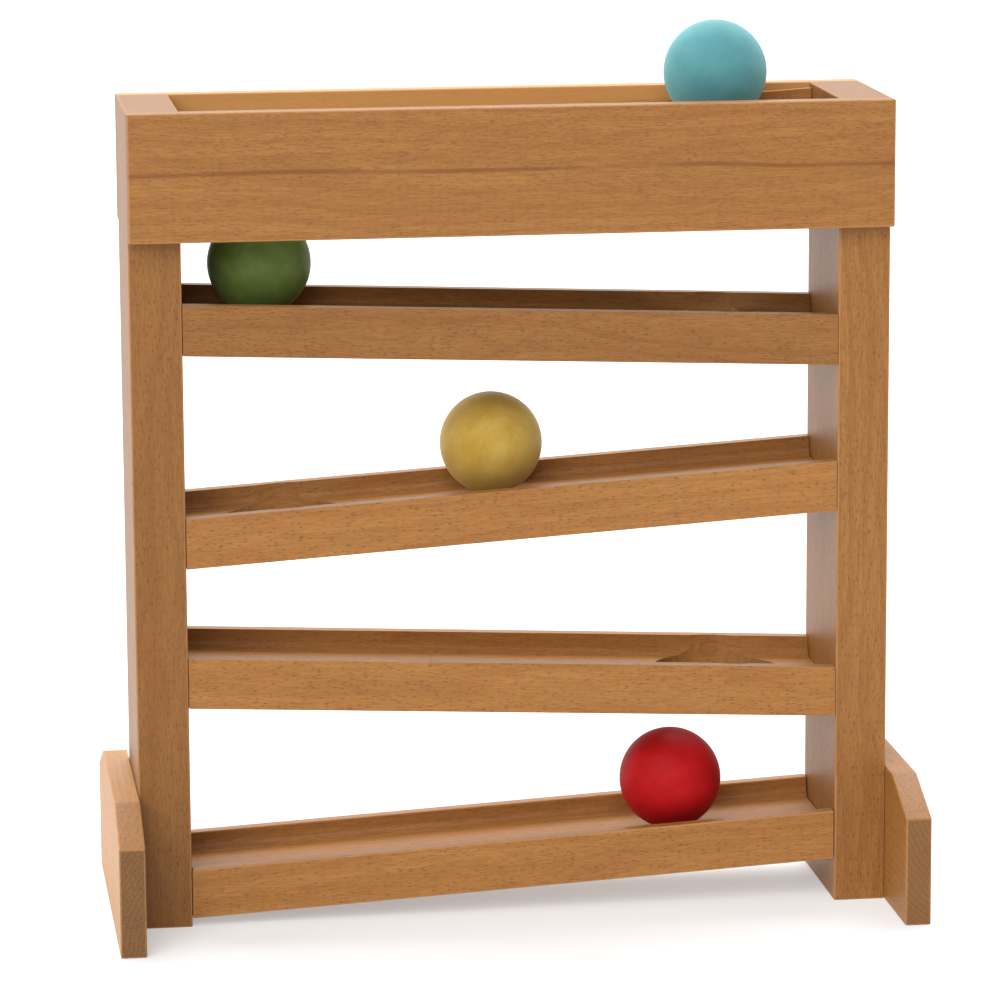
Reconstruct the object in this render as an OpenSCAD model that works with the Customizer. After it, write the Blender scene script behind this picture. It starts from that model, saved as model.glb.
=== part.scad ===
// Wooden marble run. Two posts stand on foot boards and carry five sloping tracks.
// A ball rolls down a track, drops through the hole at its low end and lands on the next.
// X runs along the tracks, the front faces -Y, and the floor is at Z = 0.

/* [Posts] */
// Width between the inner faces of the two posts
inner_width = 315; // [280:5:400]
// Height of the posts
post_height = 395; // [392:1:420]
// Thickness of a post, along the tracks
post_thick = 25; // [20:1:35]
// Depth of the posts and tracks, front to back
post_depth = 76; // [76:1:90]

/* [Aprons] */
// Thickness of the front and back aprons
apron_thick = 10; // [8:0.5:15]
// Height of the aprons
apron_height = 61; // [50:1:65]

/* [Feet] */
// Thickness of a foot board
foot_thick = 12.5; // [10:0.5:18]
// Length of a foot board, front to back
foot_length = 175; // [150:5:220]
// Height of a foot board
foot_height = 67; // [60:1:75]
// Height of the upright front and rear edges of a foot board
foot_edge_height = 53; // [40:1:55]
// How far the sloping shoulder of a foot board reaches back from its end
foot_shoulder = 35; // [20:1:40]

/* [Tracks] */
// Thickness of a track, measured square to its slope
track_thick = 24.3; // [22:0.1:26]
// Thickness of the low walls beside the channel
wall_thick = 6.5; // [6:0.5:7]
// Depth of the channel
channel_depth = 10; // [8:0.5:10]
// Radius of the inner corners of the channel
channel_corner = 4.5; // [3:0.5:6]
// Radius of the drop hole
drop_hole_r = 33; // [28:0.5:34]
// Distance from the post to the middle of the drop hole
drop_hole_inset = 50; // [45:1:60]

/* [Track heights] */
// Height of the top edge of track 1 at mid width
track_1_height = 383; // [380:0.5:384]
// Rise of track 1 from its left end to its right end
track_1_rise = 19; // [10:0.5:20]
// Height of the top edge of track 2 at mid width
track_2_height = 297; // [295:0.5:298]
// Rise of track 2 from its left end to its right end
track_2_rise = -12.5; // [-15:0.5:-8]
// Height of the top edge of track 3 at mid width
track_3_height = 210; // [209:0.5:211]
// Rise of track 3 from its left end to its right end
track_3_rise = 19; // [10:0.5:20]
// Height of the top edge of track 4 at mid width
track_4_height = 125; // [123:0.5:126]
// Rise of track 4 from its left end to its right end
track_4_rise = -15; // [-17:0.5:-8]
// Height of the top edge of track 5 at mid width
track_5_height = 37; // [36:0.5:40]
// Rise of track 5 from its left end to its right end
track_5_rise = 17; // [10:0.5:18]

/* [Balls] */
// Radius of a ball
ball_r = 25; // [23:0.5:25.5]
// Place of the turquoise ball along track 1, from mid width
turquoise_x = 105.5; // [-70:0.5:130]
// Place of the green ball along track 2, from mid width
green_x = -118; // [-130:0.5:70]
// Place of the yellow ball along track 3, from mid width
yellow_x = -4; // [-70:0.5:130]
// Place of the red ball along track 5, from mid width
red_x = 82.5; // [-130:0.5:130]

/* [Dowels] */
// Radius of the dowels in the tracks and feet
dowel_r = 4; // [3:0.5:5]
// Radius of the thin dowels in the aprons
thin_dowel_r = 3; // [2:0.5:3]

/* [Hidden] */
$fn = 64;

beech = "burlywood";
end_grain = "tan";

// Sides: the left post is at -1 and the right post at 1
left = -1;
right = 1;
front = -1;
back = 1;
sides = [left, right];

track_heights = [track_1_height, track_2_height, track_3_height, track_4_height, track_5_height];
track_rises = [track_1_rise, track_2_rise, track_3_rise, track_4_rise, track_5_rise];
track_count = 5;

inner_x = inner_width / 2;
outer_x = inner_x + post_thick;
apron_middle_z = post_height - apron_height / 2;

// A cutter reaches this far past the face it cuts
over = 1;
// Space around a dowel in its bore
dowel_fit = 0.05;
// Space between a ball and the floor of its channel
ball_gap = 0.15;

// How far each ball lies from the middle of its channel, towards the back
turquoise_y = 5;
green_y = 4;
yellow_y = 10;
red_y = -3;

channel_width = post_depth - 2 * wall_thick;
floor_thick = track_thick - channel_depth;

// The tracks that the balls lie on, counted from the top
turquoise_track = 1;
green_track = 2;
yellow_track = 3;
red_track = 5;

// Track and foot dowels stand this far to each side of the middle of the depth
dowel_y = 20;
dowel_in_post = 14;
dowel_in_track = 14;
foot_dowel_z = 46;
foot_dowel_in_post = 9;
foot_dowel_in_foot = 8;
apron_dowel_in_post = 11;
apron_dowel_in_apron = 6;
apron_dowel_spread = 17;

// Tracks are counted from 1 at the top
function track_height(i) = track_heights[i - 1];

function track_rise(i) = track_rises[i - 1];

function slope(i) = atan(track_rise(i) / inner_width);

// A track hole lies at the low end of its track
function low_side(i) = track_rise(i) > 0 ? left : right;

function hole_x(i) = low_side(i) * (inner_x - drop_hole_inset);

// Height of a line parallel to track i, measured square down from its top edge
function line_z(i, x, below) =
    track_height(i) + track_rise(i) * x / inner_width - below / cos(slope(i));

// Height of the track dowels at one post
function dowel_z(i, side) = line_z(i, side * inner_x, channel_depth + floor_thick / 2);

// Moves children from a frame whose top edge is level to the slope of track i
module on_track(i) {
    translate([0, 0, track_height(i)])
        rotate([0, -slope(i), 0])
            children();
}

module rod_x(r, x_from, x_to) {
    translate([min(x_from, x_to), 0, 0])
        rotate([0, 90, 0])
            cylinder(r = r, h = abs(x_to - x_from));
}

module rod_y(r, y_from, y_to) {
    translate([0, max(y_from, y_to), 0])
        rotate([90, 0, 0])
            cylinder(r = r, h = abs(y_to - y_from));
}

// Dowels between one post and the end of track i
module track_end_rods(i, side, r, extra) {
    x_track = side * (inner_x - dowel_in_track - extra);
    x_post = side * (inner_x + dowel_in_post + extra);
    for (y = [-dowel_y, dowel_y])
        translate([0, y, dowel_z(i, side)])
            rod_x(r, x_track, x_post);
}

// Dowels between a post and its foot board
module foot_rods(side, r, extra) {
    x_post = side * (outer_x - foot_dowel_in_post - extra);
    x_foot = side * (outer_x + foot_dowel_in_foot + extra);
    for (y = [-dowel_y, dowel_y])
        translate([0, y, foot_dowel_z])
            rod_x(r, x_post, x_foot);
}

// Dowels that tie one apron to both posts
module apron_rods(face, r, extra) {
    y_post = face * (post_depth / 2 - apron_dowel_in_post - extra);
    y_apron = face * (post_depth / 2 + apron_dowel_in_apron + extra);
    for (side = sides)
        for (z = [-apron_dowel_spread, apron_dowel_spread])
            translate([side * (inner_x + post_thick / 2), 0, apron_middle_z + z])
                rod_y(r, y_post, y_apron);
}

module post(side) {
    color(beech)
        difference() {
            translate([side * (inner_x + post_thick / 2), 0, post_height / 2])
                cube([post_thick, post_depth, post_height], center = true);
            for (i = [1 : track_count])
                track_end_rods(i, side, dowel_r + dowel_fit, dowel_fit);
            foot_rods(side, dowel_r + dowel_fit, dowel_fit);
            for (face = [front, back])
                apron_rods(face, thin_dowel_r + dowel_fit, dowel_fit);
        }
}

module apron(face) {
    color(beech)
        difference() {
            translate([0, face * (post_depth + apron_thick) / 2, apron_middle_z])
                cube([2 * outer_x, apron_thick, apron_height], center = true);
            apron_rods(face, thin_dowel_r + dowel_fit, dowel_fit);
        }
}

// The channel has rounded inner corners
module channel_cutter(length) {
    corner_y = channel_width / 2 - channel_corner;
    translate([-length / 2, -corner_y, -channel_depth])
        cube([length, 2 * corner_y, channel_depth + over]);
    translate([-length / 2, -channel_width / 2, -channel_depth + channel_corner])
        cube([length, channel_width, channel_depth - channel_corner + over]);
    for (y = [-corner_y, corner_y])
        translate([0, y, -channel_depth + channel_corner])
            rod_x(channel_corner, -length / 2, length / 2);
}

module track(i) {
    // Long enough to run into both posts before its ends are cut
    long = 2 * outer_x;
    color(beech)
        difference() {
            intersection() {
                on_track(i)
                    difference() {
                        translate([-long / 2, -post_depth / 2, -track_thick])
                            cube([long, post_depth, track_thick]);
                        channel_cutter(long + 2 * over);
                    }
                translate([-inner_x, -post_depth / 2 - over, 0])
                    cube([inner_width, post_depth + 2 * over, post_height + track_thick]);
            }
            if (i < track_count)
                on_track(i)
                    translate([hole_x(i) / cos(slope(i)), 0, -track_thick - over])
                        cylinder(r = drop_hole_r, h = track_thick + 2 * over);
            for (side = sides)
                track_end_rods(i, side, dowel_r + dowel_fit, dowel_fit);
        }
}

module foot(side) {
    half = foot_length / 2;
    shoulder = half - foot_shoulder;
    outline = [
        [-half, 0],
        [half, 0],
        [half, foot_edge_height],
        [shoulder, foot_height],
        [-shoulder, foot_height],
        [-half, foot_edge_height]
    ];
    color(end_grain)
        difference() {
            translate([side * (outer_x + foot_thick / 2) - foot_thick / 2, 0, 0])
                rotate([90, 0, 90])
                    linear_extrude(foot_thick)
                        polygon(outline);
            foot_rods(side, dowel_r + dowel_fit, dowel_fit);
        }
}

// A ball resting in the channel of track i, at x along the track and y across it
module ball(i, x, y) {
    on_track(i)
        translate([x / cos(slope(i)), y, ball_r + ball_gap - channel_depth])
            sphere(r = ball_r);
}

module track_dowels(i) {
    color(end_grain)
        for (side = sides)
            track_end_rods(i, side, dowel_r, 0);
}

module apron_dowels(face) {
    color(end_grain)
        apron_rods(face, thin_dowel_r, 0);
}

module foot_dowels(side) {
    color(end_grain)
        foot_rods(side, dowel_r, 0);
}

module ball_turquoise() {
    color("cadetblue")
        ball(turquoise_track, turquoise_x, turquoise_y);
}

module ball_green() {
    color("darkolivegreen")
        ball(green_track, green_x, green_y);
}

module ball_yellow() {
    color("goldenrod")
        ball(yellow_track, yellow_x, yellow_y);
}

module ball_red() {
    color("firebrick")
        ball(red_track, red_x, red_y);
}

post(left);  // post_left
post(right);  // post_right
apron(front);  // apron_front
apron(back);  // apron_back
track(1);  // track_1
track(2);  // track_2
track(3);  // track_3
track(4);  // track_4
track(5);  // track_5
foot(left);  // foot_left
foot(right);  // foot_right
ball_turquoise();
ball_green();
ball_yellow();
ball_red();
track_dowels(1);  // track_1_dowels
track_dowels(2);  // track_2_dowels
track_dowels(3);  // track_3_dowels
track_dowels(4);  // track_4_dowels
track_dowels(5);  // track_5_dowels
apron_dowels(front);  // apron_front_dowels
apron_dowels(back);  // apron_back_dowels
foot_dowels(left);  // foot_left_dowels
foot_dowels(right);  // foot_right_dowels
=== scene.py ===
"""Looks of the wooden marble run: boards, stained balls, dowels, floor, light and camera.

Lengths are in metres in the CAD frame, except where a name ends in _mm or _MM.
"""

import itertools
import math

import bmesh
import bpy
from mathutils import Matrix, Vector


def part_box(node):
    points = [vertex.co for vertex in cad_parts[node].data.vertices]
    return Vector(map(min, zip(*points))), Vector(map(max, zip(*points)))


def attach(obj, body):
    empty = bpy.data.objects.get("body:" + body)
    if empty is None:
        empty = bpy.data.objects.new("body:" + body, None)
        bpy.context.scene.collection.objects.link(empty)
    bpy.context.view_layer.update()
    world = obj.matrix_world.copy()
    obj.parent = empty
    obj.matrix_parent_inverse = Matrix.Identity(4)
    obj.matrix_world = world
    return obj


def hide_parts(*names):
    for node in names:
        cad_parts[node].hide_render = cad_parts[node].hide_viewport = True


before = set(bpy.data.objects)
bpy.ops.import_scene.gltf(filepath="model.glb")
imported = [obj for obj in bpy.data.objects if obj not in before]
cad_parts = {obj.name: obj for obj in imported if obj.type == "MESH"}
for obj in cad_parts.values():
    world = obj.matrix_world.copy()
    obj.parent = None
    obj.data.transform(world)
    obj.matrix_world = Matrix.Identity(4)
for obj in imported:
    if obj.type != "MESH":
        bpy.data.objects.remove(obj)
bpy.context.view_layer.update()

# ---------------------------------------------------------------- dimensions
TRACK_THICK = 0.0243
WALL_THICK = 0.0065
CHANNEL_DEPTH = 0.010
CHANNEL_CORNER = 0.0045  # radius between the floor and the wall of a channel
CORNER_STEPS = 6
END_GAP = 0.0002  # between each end of a track and its post
RISE_PASSES = 4

HOLE_RADIUS = 0.033
HOLE_INSET = 0.050  # from the low end of a track to the middle of its drop hole
HOLE_SIDES = 96
CUTTER_BELOW = 0.030  # reach of the hole cutter below the top edges of a track
CUTTER_ABOVE = 0.005

FOOT_EDGE_HEIGHT = 0.053
FOOT_SHOULDER = 0.035  # how far each sloping shoulder runs in from its end of the foot

EDGE_ROUND = 0.0008  # on every sharp edge of a board

BALL_STEPS = 44
BALL_WAVE = 0.00003
BALL_INSET = 0.00001  # keeps the ball inside its CAD box

FLOOR_HALF = 12

# ---------------------------------------------------------------- grain of beech
RING_MM = 2.3
RAY_LONG_MM = 3.8
RAY_DEEP_MM = 3.0
RAYS_PER_RADIAN = 125
BEND_MM = 8
SIDE_GRAIN = 0.2  # a face whose normal leans less than this along the grain shows no end grain
BALL_PITH_MM = Vector((0, 38, 22))
BALL_TURN_AXIS = (0.3, 1, 0.2)
MM_PER_M = 1000

X, Y, Z = Vector((1, 0, 0)), Vector((0, 1, 0)), Vector((0, 0, 1))


# ---------------------------------------------------------------- mesh tools
def prism(section, stations, place):
    """Mesh data of a closed 2-D section carried between two stations.

    place(p, station) gives the point in space of the section's point p.
    """
    n = len(section)
    points = [place(p, s) for s in stations for p in section]
    faces = [[(k + 1) % n, k, k + n, (k + 1) % n + n] for k in range(n)]
    faces.append(list(range(n)))
    faces.append([k + n for k in reversed(range(n))])
    return points, faces


def new_object(name, points, faces):
    mesh = bpy.data.meshes.new(name)
    mesh.from_pydata([tuple(p) for p in points], [], faces)
    shape = bmesh.new()
    shape.from_mesh(mesh)
    bmesh.ops.recalc_face_normals(shape, faces=shape.faces)
    shape.to_mesh(mesh)
    shape.free()
    obj = bpy.data.objects.new(name, mesh)
    bpy.context.scene.collection.objects.link(obj)
    return obj


def shade_smooth(obj):
    for face in obj.data.polygons:
        face.use_smooth = True


def apply_modifiers(obj):
    bpy.context.view_layer.update()
    graph = bpy.context.evaluated_depsgraph_get()
    made = bpy.data.meshes.new_from_object(obj.evaluated_get(graph))
    old = obj.data
    obj.modifiers.clear()
    obj.data = made
    made.name = obj.name
    bpy.data.meshes.remove(old)


def cut(obj, cutter):
    """Takes the cutter out of obj and removes the cutter."""
    modifier = obj.modifiers.new("cut", "BOOLEAN")
    modifier.operation = "DIFFERENCE"
    modifier.solver = "EXACT"
    modifier.object = cutter
    apply_modifiers(obj)
    bpy.data.objects.remove(cutter)


def round_edges(obj, material):
    """Rounds every sharp edge. The rounded faces are told by their material index, 1."""
    for _ in range(2):
        obj.data.materials.append(material)
    for face in obj.data.polygons:
        face.material_index = 0
    modifier = obj.modifiers.new("round", "BEVEL")
    modifier.width = EDGE_ROUND
    modifier.segments = 3
    modifier.limit_method = "ANGLE"
    modifier.angle_limit = math.radians(30)
    modifier.material = 1
    modifier.harden_normals = True
    shade_smooth(obj)
    apply_modifiers(obj)


def write_grain(obj, along, across, pith_mm, start_mm, tone_and_light, end_share_and_top_light):
    """Stores what the wood shader reads.

    grain: millimetres along the grain and across it, measured from the pith, which lies at
    pith_mm from the middle of the board. Along the grain they count on from start_mm, so that
    no two boards show the same wood.
    surface: wear_and_highlight, the share of rounded edge, paled partly for wear and partly as a
    painted highlight along lit edges; share of end grain; and tone_and_light, from -1 for pale to
    1 for dark; on some pale boards it is partly painted light, on one dark board partly painted
    shade. end_share_and_top_light says how dark the end grain shows; the posts' low value keeps
    their tops pale, a painted highlight.
    """
    mesh = obj.data
    third = along.cross(across)
    low = Vector([min(v.co[k] for v in mesh.vertices) for k in range(3)])
    high = Vector([max(v.co[k] for v in mesh.vertices) for k in range(3)])
    middle = (low + high) / 2
    grain = mesh.attributes.new("grain", "FLOAT_VECTOR", "POINT")
    for vertex in mesh.vertices:
        p = (vertex.co - middle) * MM_PER_M
        grain.data[vertex.index].vector = (
            p.dot(along) + start_mm,
            p.dot(across) - pith_mm[0],
            p.dot(third) - pith_mm[1],
        )
    surface = mesh.attributes.new("surface", "FLOAT_VECTOR", "CORNER")
    for face in mesh.polygons:
        # Rounded faces get the paler edge colour: partly real wear, partly a painted highlight of
        # lit edges.
        wear_and_highlight = 1.0 if face.material_index == 1 else 0.0
        facing = abs(face.normal.dot(along))
        # A share below 1, as on the posts, leaves their end grain, seen on their tops, paler: a
        # painted highlight of the lit tops.
        end = end_share_and_top_light * max(0.0, (facing - SIDE_GRAIN) / (1 - SIDE_GRAIN))
        for corner in face.loop_indices:
            surface.data[corner].vector = (wear_and_highlight, end, tone_and_light)
        face.material_index = 0


# ---------------------------------------------------------------- shader tools
class Shader:
    """Short names for the nodes of one material."""

    def __init__(self, name):
        self.material = bpy.data.materials.new(name)
        self.material.use_nodes = True
        self.tree = self.material.node_tree
        self.tree.nodes.clear()
        self.output = self.tree.nodes.new("ShaderNodeOutputMaterial")

    def put(self, socket, value):
        if isinstance(value, bpy.types.NodeSocket):
            self.tree.links.new(value, socket)
        elif isinstance(value, tuple) and len(value) == 3 and socket.type == "RGBA":
            socket.default_value = (*value, 1.0)
        else:
            socket.default_value = value

    def node(self, kind, inputs=(), **settings):
        made = self.tree.nodes.new(kind)
        for key, value in settings.items():
            setattr(made, key, value)
        for key, value in dict(inputs).items():
            self.put(made.inputs[key], value)
        return made

    def attribute(self, name):
        return self.node("ShaderNodeAttribute", attribute_name=name).outputs["Vector"]

    def object_place(self):
        return self.node("ShaderNodeTexCoord").outputs["Object"]

    def split(self, vector):
        return self.node("ShaderNodeSeparateXYZ", {0: vector}).outputs

    def join(self, *parts):
        return self.node("ShaderNodeCombineXYZ", dict(enumerate(parts))).outputs[0]

    def math(self, operation, *values):
        inputs = dict(enumerate(values))
        return self.node("ShaderNodeMath", inputs, operation=operation).outputs[0]

    def times(self, a, b):
        return self.math("MULTIPLY", a, b)

    def invert(self, share):
        return self.math("SUBTRACT", 1.0, share)

    def vector(self, operation, a, b):
        return self.node("ShaderNodeVectorMath", {0: a, 1: b}, operation=operation).outputs[0]

    def step(self, value, low, high):
        """Smooth step from 0 at low to 1 at high."""
        inputs = {"Value": value, "From Min": low, "From Max": high}
        return self.node("ShaderNodeMapRange", inputs, interpolation_type="SMOOTHSTEP").outputs[0]

    def spread(self, value, low, high):
        """Maps 0 to low and 1 to high."""
        inputs = {"Value": value, "To Min": low, "To Max": high}
        return self.node("ShaderNodeMapRange", inputs).outputs[0]

    def noise(self, position, scale, detail, rough=0.5, output=0):
        """Noise with its own scale on each axis. Output 0 is a number, "Color" is three."""
        stretched = self.vector("MULTIPLY", position, scale)
        inputs = {"Vector": stretched, "Scale": 1.0, "Detail": detail, "Roughness": rough}
        return self.node("ShaderNodeTexNoise", inputs).outputs[output]

    def mix(self, share, a, b, blend="MIX"):
        """Colour a with a share of b, held between 0 and 1.

        The colours of a Mix node are its inputs 6 and 7 and its output 2.
        """
        made = self.node("ShaderNodeMix", data_type="RGBA", blend_type=blend)
        for index, value in ((0, share), (6, a), (7, b)):
            self.put(made.inputs[index], value)
        return made.outputs[2]

    def paint(self, colour, *coats):
        """Mixes the coats into a colour in turn: (share, colour) or (share, colour, blend)."""
        for share, *coat in coats:
            colour = self.mix(share, colour, *coat)
        return colour

    def finish(self, colour, roughness, height, bump_mm, extra=()):
        bump = self.node(
            "ShaderNodeBump", {"Height": height, "Distance": bump_mm / MM_PER_M, "Strength": 1.0}
        )
        inputs = {"Base Color": colour, "Roughness": roughness, "Normal": bump.outputs[0]}
        inputs.update(extra)
        surface = self.node("ShaderNodeBsdfPrincipled", inputs)
        self.tree.links.new(surface.outputs[0], self.output.inputs[0])
        return self.material


def grain_pattern(shader, position):
    """Parts of the pattern of beech at a point in grain millimetres, each from 0 to 1.

    Across the grain the point is measured from the pith. late is the dark side of a growth
    ring, ray a fleck of ray tissue, and heart the dark streak in the plane through the pith.
    Pores and fibres are the finest marks, streaks are wider and clouds the widest.
    """
    bend = shader.noise(position, (0.007, 0.035, 0.035), 2.0, output="Color")
    bend = shader.vector("SUBTRACT", bend, (0.5, 0.5, 0.5))
    bend = shader.vector("MULTIPLY", bend, (0, BEND_MM, BEND_MM))
    bent = shader.vector("ADD", position, bend)
    along, across, third = shader.split(bent)
    squares = [shader.math("POWER", side, 2.0) for side in (across, third)]
    radius = shader.math("SQRT", shader.math("ADD", *squares))
    angle = shader.math("ARCTAN2", third, across)

    ring = shader.math("FRACT", shader.math("DIVIDE", radius, RING_MM))
    late = shader.times(shader.step(ring, 0.35, 0.9), shader.invert(shader.step(ring, 0.9, 1.0)))

    ray_place = shader.join(
        shader.math("DIVIDE", along, RAY_LONG_MM),
        shader.times(angle, RAYS_PER_RADIAN),
        shader.math("DIVIDE", radius, RAY_DEEP_MM),
    )
    cells = shader.node("ShaderNodeTexVoronoi", {"Vector": ray_place, "Scale": 1.0})
    pick = shader.node("ShaderNodeSeparateColor", {0: cells.outputs["Color"]}).outputs[0]
    ray = shader.invert(shader.step(cells.outputs["Distance"], 0.05, 0.40))
    density = shader.noise(position, (0.012, 0.04, 0.04), 1.0)
    density = shader.math("ADD", density, shader.times(shader.step(across, 0.0, 8.0), 0.22))
    ray = shader.times(ray, shader.step(shader.math("ADD", pick, density), 0.62, 1.2))

    patchy = shader.noise(position, (0.013, 0.02, 0.02), 3.0)
    heart = shader.invert(shader.step(shader.math("ABSOLUTE", across), 0.3, 1.5))
    heart = shader.times(heart, shader.step(patchy, 0.2, 0.55))

    pore = shader.noise(position, (0.24, 1.9, 1.9), 2.0, 0.6)
    fibre = shader.noise(position, (0.13, 3.2, 3.2), 1.0, 0.6)
    return {
        "late": late,
        "ray": ray,
        "heart": heart,
        "pore": shader.step(pore, 0.54, 0.68),
        "fibre": shader.step(fibre, 0.40, 0.62),
        "streak": shader.noise(bent, (0.055, 1.0, 1.0), 4.0, 0.65),
        "cloud": shader.noise(bent, (0.007, 0.085, 0.085), 3.0, 0.55),
    }


def beech_material():
    """Oiled beech of the boards, from the two attributes that write_grain stores.

    Of the two coats for tone_and_light, a positive value lays on only the dark one and a
    negative value only the pale one. On some boards the paling is partly painted light and the
    darkening partly painted shade.
    """
    shader = Shader("beech")
    grain = grain_pattern(shader, shader.attribute("grain"))
    wear_and_highlight, end, tone_and_light = shader.split(shader.attribute("surface"))
    side_tone_and_light = shader.times(tone_and_light, shader.invert(shader.step(end, 0.0, 0.3)))
    cloud = shader.step(grain["cloud"], 0.28, 0.72)
    colour = shader.paint(
        shader.mix(cloud, (0.315, 0.136, 0.032), (0.35, 0.161, 0.042)),
        (shader.times(shader.step(grain["streak"], 0.40, 0.72), 0.4), (0.21, 0.082, 0.018)),
        (shader.times(grain["fibre"], 0.45), (0.215, 0.085, 0.018)),
        (shader.times(grain["late"], shader.spread(end, 0.25, 0.42)), (0.21, 0.068, 0.014)),
        (shader.times(grain["pore"], 0.38), (0.15, 0.05, 0.012)),
        (shader.times(grain["ray"], 0.75), (0.095, 0.038, 0.009)),
        (shader.times(grain["heart"], 0.65), (0.15, 0.046, 0.009)),
        # tone_and_light darkens or pales the side faces of a board; on some boards it is partly
        # painted light and shade.
        (side_tone_and_light, (0.68, 0.66, 0.62), "MULTIPLY"),
        (shader.times(side_tone_and_light, -1.0), (0.60, 0.32, 0.11)),
        (end, (0.53, 0.57, 0.78), "MULTIPLY"),
        # Paler rounded edges: partly wear, partly a painted highlight along the lit edges.
        (shader.times(wear_and_highlight, shader.spread(grain["streak"], 0.0, 0.5)), (0.52, 0.27, 0.11)),
    )
    roughness = shader.spread(grain["streak"], 0.38, 0.54)
    roughness = shader.math("ADD", roughness, shader.times(end, 0.06))
    height = shader.times(grain["streak"], 0.5)
    height = shader.math("SUBTRACT", height, shader.times(grain["ray"], 0.6))
    height = shader.math("SUBTRACT", height, shader.times(grain["pore"], 0.3))
    return shader.finish(colour, roughness, height, 0.07, {"Specular IOR Level": 0.26})


def stained_material(name, light, dark, deep, roughness, show, sheen, sheen_tint):
    """Stained turned wood. show is how much of the grain the stain lets through."""
    shader = Shader(name)
    position = shader.attribute("grain")
    grain = grain_pattern(shader, position)
    blot = shader.noise(position, (0.06, 0.09, 0.09), 3.0, 0.6)
    colour = shader.paint(
        shader.mix(shader.step(blot, 0.3, 0.7), dark, light),
        (shader.times(grain["late"], show * 0.4), deep),
        (shader.times(shader.step(grain["streak"], 0.4, 0.8), show), deep),
        (shader.times(grain["ray"], show), deep),
    )
    rough = shader.spread(grain["streak"], roughness - 0.05, roughness + 0.07)
    height = shader.times(grain["streak"], 0.4)
    height = shader.math("SUBTRACT", height, shader.times(grain["ray"], 0.3))
    surface = {
        "Specular IOR Level": 0.10,
        "Sheen Weight": sheen,
        "Sheen Tint": sheen_tint,
        "Sheen Roughness": 0.6,
    }
    return shader.finish(colour, rough, height, 0.05, surface)


def dowel_material(name, axes):
    """Plain beech for CAD nodes, whose object coordinates are frame metres.

    axes lists the three axes of the frame, the one that the grain follows first.
    """
    shader = Shader(name)
    place = shader.split(shader.object_place())
    position = shader.join(*[place[axis] for axis in axes])
    position = shader.vector("MULTIPLY", position, (MM_PER_M, MM_PER_M, MM_PER_M))
    grain = grain_pattern(shader, position)
    colour = shader.paint(
        shader.mix(shader.step(grain["cloud"], 0.3, 0.7), (0.50, 0.29, 0.13), (0.62, 0.40, 0.20)),
        (shader.times(grain["late"], 0.3), (0.38, 0.19, 0.08)),
        (shader.times(grain["ray"], 0.6), (0.16, 0.06, 0.02)),
    )
    roughness = shader.spread(grain["streak"], 0.45, 0.65)
    return shader.finish(colour, roughness, grain["streak"], 0.08)


def floor_material():
    shader = Shader("pale_floor")
    speck = shader.noise(shader.object_place(), (3, 3, 3), 3.0)
    colour = shader.mix(speck, (0.54, 0.545, 0.56), (0.57, 0.575, 0.59))
    glow = {"Emission Color": (1.0, 1.0, 1.0), "Emission Strength": 0.36}
    return shader.finish(colour, shader.spread(speck, 0.75, 0.85), speck, 0.05, glow)


# ---------------------------------------------------------------- boards
beech = beech_material()


def dress_board(obj, node, *grain):
    round_edges(obj, beech)
    write_grain(obj, *grain)
    obj.data.materials.clear()
    obj.data.materials.append(beech)
    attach(obj, "frame")
    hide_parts(node)


def box_section(low, high):
    return [(low.y, low.z), (high.y, low.z), (high.y, high.z), (low.y, high.z)]


def foot_section(low, high):
    """A rectangle with a sloping shoulder at each upper corner."""
    edge = low.z + FOOT_EDGE_HEIGHT
    return [
        (low.y, low.z),
        (high.y, low.z),
        (high.y, edge),
        (high.y - FOOT_SHOULDER, high.z),
        (low.y + FOOT_SHOULDER, high.z),
        (low.y, edge),
    ]


def straight_board(node, section, *grain):
    """A board with the same (y, z) section from one x end of its node to the other."""
    low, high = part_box(node)
    points, faces = prism(section(low, high), (low.x, high.x), lambda p, x: Vector((x, *p)))
    dress_board(new_object(node + "_wood", points, faces), node, *grain)


def channel_section(half_depth):
    """Outline of a track across its length, as (y, distance below the top edge)."""
    wall = half_depth - WALL_THICK
    corner = []
    for k in range(CORNER_STEPS + 1):
        a = math.radians(90 * k / CORNER_STEPS)
        corner.append(
            (
                wall - CHANNEL_CORNER + CHANNEL_CORNER * math.cos(a),
                CHANNEL_DEPTH - CHANNEL_CORNER + CHANNEL_CORNER * math.sin(a),
            )
        )
    right = [(half_depth, TRACK_THICK), (half_depth, 0), (wall, 0), *corner]
    left = [(-y, below) for y, below in reversed(right)]
    return right + left


def track_rise(width, drop):
    """How much higher one end of a track lies, from the width and the height of its box.

    The box also holds the thickness, which is more upright than square to the slope. Each pass
    works that out from the rise of the last one.
    """
    rise = drop - TRACK_THICK
    for _ in range(RISE_PASSES):
        rise = drop - TRACK_THICK / math.cos(math.atan(rise / width))
    return rise


def drill(obj, centre, along, square):
    """Cuts the drop hole, whose axis is square to the track."""
    ring = [math.tau * k / HOLE_SIDES for k in range(HOLE_SIDES)]
    circle = [(HOLE_RADIUS * math.cos(a), HOLE_RADIUS * math.sin(a)) for a in ring]

    def place(p, height):
        return centre + along * p[0] + Y * p[1] + square * height

    points, faces = prism(circle, (-CUTTER_BELOW, CUTTER_ABOVE), place)
    cut(obj, new_object("cutter", points, faces))


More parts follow.
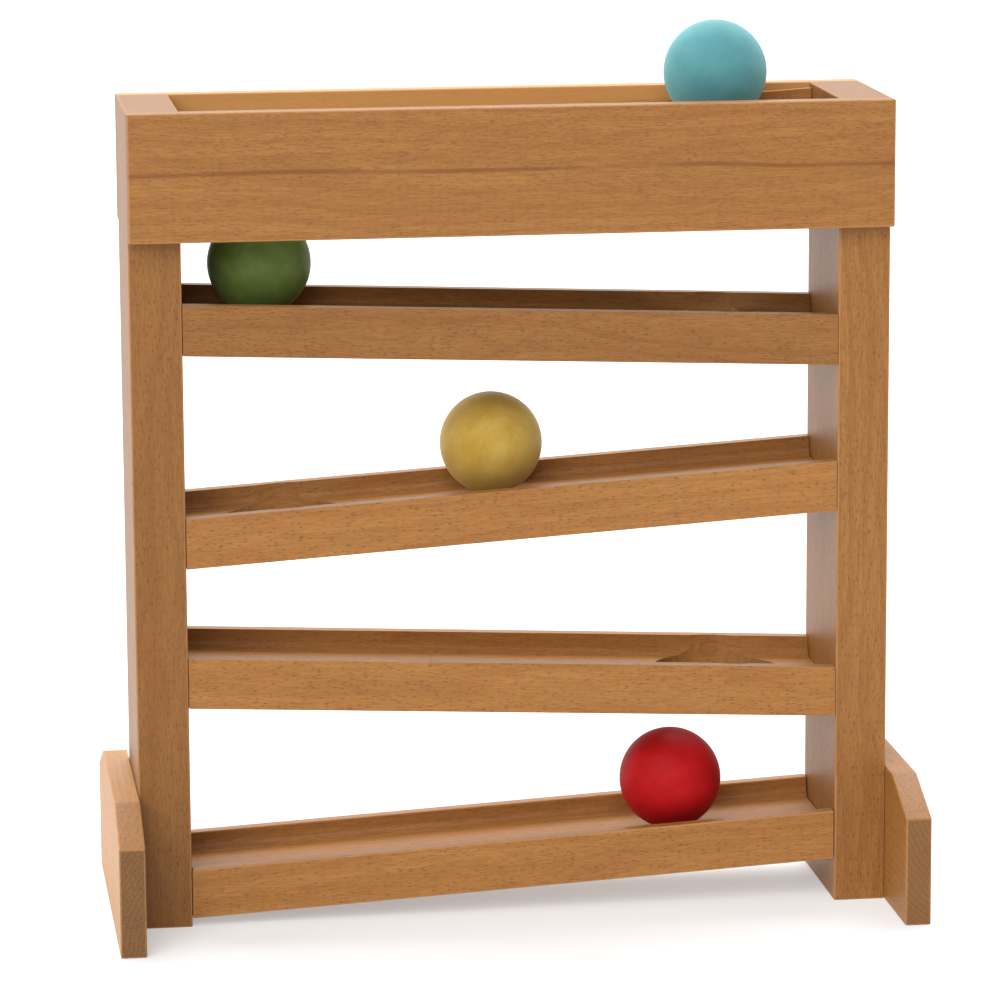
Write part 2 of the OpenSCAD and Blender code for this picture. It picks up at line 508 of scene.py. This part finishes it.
def track_board(node, direction, has_hole, *grain):
    """A grooved track. direction is 1 where it rises to the right and -1 to the left."""
    low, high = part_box(node)
    width = high.x - low.x
    rise = track_rise(width, high.z - low.z)
    tilt = direction * math.atan(rise / width)
    middle = high.z - rise / 2

    def place(p, x):
        return Vector((x, p[0], middle + x * math.tan(tilt) - p[1] / math.cos(tilt)))

    points, faces = prism(channel_section(high.y), (low.x + END_GAP, high.x - END_GAP), place)
    obj = new_object(node + "_wood", points, faces)
    along = Vector((math.cos(tilt), 0, math.sin(tilt)))
    square = Vector((-math.sin(tilt), 0, math.cos(tilt)))
    if has_hole:
        drill(obj, place((0, 0), -direction * (width / 2 - HOLE_INSET)), along, square)
    dress_board(obj, node, along, Y, *grain)


# Node and section, then what write_grain takes: along, across, pith, start, tone_and_light,
# end_share_and_top_light. The last two hold some painted light and shade, marked at the rows.
for board in [
    # The posts' end shares of 0.4 and 0.45 keep their tops pale: a painted highlight of the lit
    # tops.
    ("post_left", box_section, Z, Y, (62, 14), 40, 0.95, 0.4),
    ("post_right", box_section, Z, Y, (70, -30), 1240, 0.55, 0.45),
    ("apron_front", box_section, X, Z, (2, 62), 2600, 0.4, 1.0),
    # apron_back: pale, partly the board's own colour, partly painted light on its brightly lit
    # inner face.
    ("apron_back", box_section, X, Z, (-10, -75), 3900, -0.55, 1.0),
    # foot_left: pale, partly the board's own colour, partly a painted highlight of its lit outer
    # face and top.
    ("foot_left", foot_section, Y, Z, (-45, 75), 5200, -0.2, 1.0),
    ("foot_right", foot_section, Y, Z, (48, 80), 6400, 0.0, 0.85),
]:
    straight_board(*board)

# Node, direction, drop hole, then the last four of what write_grain takes.
for track in [
    ("track_1", 1, True, (60, -30), 7600, 0.0, 1.0),
    # track_2: dark, partly the board's own colour, partly painted shade from the front apron above
    # it.
    ("track_2", -1, True, (75, 20), 8800, 0.85, 1.0),
    ("track_3", 1, True, (90, -35), 10100, 0.12, 1.0),
    ("track_4", -1, True, (85, 12), 11300, 0.08, 1.0),
    ("track_5", 1, False, (70, -25), 12500, 0.0, 1.0),
]:
    track_board(*track)


# ---------------------------------------------------------------- balls
def sanded_ball(centre, radius):
    """Mesh data of a cube grid blown up to a sphere, with the faint waviness of sanding."""
    points, faces, seen = [], [], {}

    def corner(p):
        key = tuple(round(c, 3) for c in p)
        if key not in seen:
            d = Vector([math.tan(c * math.pi / 4) for c in p]).normalized()
            wave = math.sin(9 * d.x + 2) * math.sin(8 * d.y + 1) * math.sin(7 * d.z + 3)
            seen[key] = len(points)
            points.append(centre + d * (radius - BALL_WAVE * (1 + wave)))
        return seen[key]

    grid = [-1 + 2 * k / BALL_STEPS for k in range(BALL_STEPS + 1)]
    steps = range(BALL_STEPS)
    for axis, sign, i, j in itertools.product(range(3), (-1, 1), steps, steps):
        quad = []
        for a, b in ((i, j), (i + 1, j), (i + 1, j + 1), (i, j + 1)):
            p = [0.0, 0.0, 0.0]
            p[axis] = sign
            p[(axis + 1) % 3] = grid[a]
            p[(axis + 2) % 3] = grid[b]
            quad.append(corner(p))
        faces.append(quad if sign > 0 else quad[::-1])
    return points, faces


def ball(colour, tilt, start_mm, **stain):
    """A turned ball. tilt is the angle of its grain in degrees."""
    node = "ball_" + colour
    low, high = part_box(node)
    centre = (low + high) / 2
    obj = new_object(node + "_wood", *sanded_ball(centre, (high.x - low.x) / 2 - BALL_INSET))
    shade_smooth(obj)
    turn = Matrix.Rotation(math.radians(tilt), 3, BALL_TURN_AXIS)
    shift = Vector((start_mm, 0, 0)) - BALL_PITH_MM
    grain = obj.data.attributes.new("grain", "FLOAT_VECTOR", "POINT")
    for vertex in obj.data.vertices:
        grain.data[vertex.index].vector = turn @ ((vertex.co - centre) * MM_PER_M) + shift
    obj.data.materials.append(stained_material(colour, **stain))
    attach(obj, colour + "_ball")
    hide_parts(node)


BALLS = {
    "turquoise": {
        "light": (0.072, 0.235, 0.26), "dark": (0.055, 0.20, 0.225), "deep": (0.045, 0.17, 0.19),
        "roughness": 0.6, "show": 0.2, "sheen": 0.4, "sheen_tint": (0.5, 0.9, 0.95),
        "tilt": 20, "start_mm": 500,
    },
    "green": {
        "light": (0.105, 0.152, 0.036), "dark": (0.078, 0.116, 0.025), "deep": (0.035, 0.052, 0.01),
        "roughness": 0.45, "show": 0.12, "sheen": 0.05, "sheen_tint": (0.6, 0.8, 0.4),
        "tilt": -15, "start_mm": 900,
    },
    "yellow": {
        "light": (0.41, 0.275, 0.058), "dark": (0.35, 0.215, 0.03), "deep": (0.27, 0.125, 0.008),
        "roughness": 0.46, "show": 0.22, "sheen": 0.3, "sheen_tint": (1.0, 0.85, 0.4),
        "tilt": 70, "start_mm": 1300,
    },
    "red": {
        "light": (0.37, 0.005, 0.007), "dark": (0.29, 0.003, 0.005), "deep": (0.19, 0.001, 0.003),
        "roughness": 0.55, "show": 0.2, "sheen": 0.02, "sheen_tint": (1.0, 0.2, 0.2),
        "tilt": 35, "start_mm": 1700,
    },
}
for colour, settings in BALLS.items():
    ball(colour, **settings)


# ---------------------------------------------------------------- dowels
dowels_along_x = dowel_material("dowel_along_x", (0, 1, 2))
dowels_along_y = dowel_material("dowel_along_y", (1, 0, 2))
for name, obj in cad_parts.items():
    if name.endswith("_dowels"):
        obj.data.materials.clear()
        obj.data.materials.append(dowels_along_y if name.startswith("apron") else dowels_along_x)


# ---------------------------------------------------------------- studio
sides = [(-1, -1), (1, -1), (1, 1), (-1, 1)]
corners = [(FLOOR_HALF * x, FLOOR_HALF * y, 0) for x, y in sides]
floor = new_object("floor", corners, [[0, 1, 2, 3]])
floor.data.materials.append(floor_material())


def sun(name, toward, strength, spread, colour):
    """A sun that stands in the direction toward. spread is its width in degrees."""
    light = bpy.data.lights.new(name, "SUN")
    light.energy = strength
    light.angle = math.radians(spread)
    light.color = colour
    obj = bpy.data.objects.new(name, light)
    obj.rotation_mode = "QUATERNION"
    obj.rotation_quaternion = Vector(toward).to_track_quat("Z", "Y")
    bpy.context.scene.collection.objects.link(obj)


sun("key", (-0.35, -0.80, 0.60), 2.95, 50, (1.0, 0.985, 0.96))
sun("top", (0.05, 0.5, 0.87), 3.0, 60, (1.0, 0.98, 0.95))
sun("left", (-0.95, 0.1, 0.25), 1.7, 60, (1.0, 0.985, 0.96))
sun("right", (0.95, -0.1, 0.2), 0.9, 60, (1.0, 0.985, 0.96))


def studio_world():
    """Soft light from all round: bright behind the object and dim on the camera's side."""
    world = bpy.data.worlds.new("studio")
    world.use_nodes = True
    tree = world.node_tree
    background = tree.nodes["Background"]
    place = tree.nodes.new("ShaderNodeTexCoord")
    split = tree.nodes.new("ShaderNodeSeparateXYZ")
    level = tree.nodes.new("ShaderNodeMapRange")
    level.interpolation_type = "SMOOTHSTEP"
    for key, value in {"From Min": -0.3, "From Max": 0.95, "To Min": 0.26, "To Max": 1.4}.items():
        level.inputs[key].default_value = value
    tree.links.new(place.outputs["Generated"], split.inputs[0])
    tree.links.new(split.outputs[1], level.inputs["Value"])
    tree.links.new(level.outputs[0], background.inputs["Strength"])
    background.inputs["Color"].default_value = (1.0, 0.99, 0.965, 1.0)
    return world


bpy.context.scene.world = studio_world()
bpy.context.scene.view_settings.view_transform = "Standard"


# ---------------------------------------------------------------- camera
def add_camera(position, yaw, pitch, roll, lens_mm):
    """A camera that looks along +Y where all three angles, in radians, are 0."""
    ahead = Vector(
        (math.sin(yaw) * math.cos(pitch), math.cos(yaw) * math.cos(pitch), math.sin(pitch))
    )
    flat_right = Vector((math.cos(yaw), -math.sin(yaw), 0))
    flat_up = flat_right.cross(ahead)
    right = flat_right * math.cos(roll) + flat_up * math.sin(roll)
    up = flat_up * math.cos(roll) - flat_right * math.sin(roll)
    data = bpy.data.cameras.new("camera")
    data.sensor_width = 36
    data.lens = lens_mm
    data.clip_start, data.clip_end = 0.1, 60
    obj = bpy.data.objects.new("camera", data)
    turn = Matrix((right, up, -ahead)).transposed().to_4x4()
    obj.matrix_world = Matrix.Translation(position) @ turn
    bpy.context.scene.collection.objects.link(obj)
    bpy.context.scene.camera = obj


add_camera(
    position=(-0.307528, -2.298866, 0.646395),
    yaw=0.13220,
    pitch=-0.19101,
    roll=-0.00530,
    lens_mm=174.72,
)
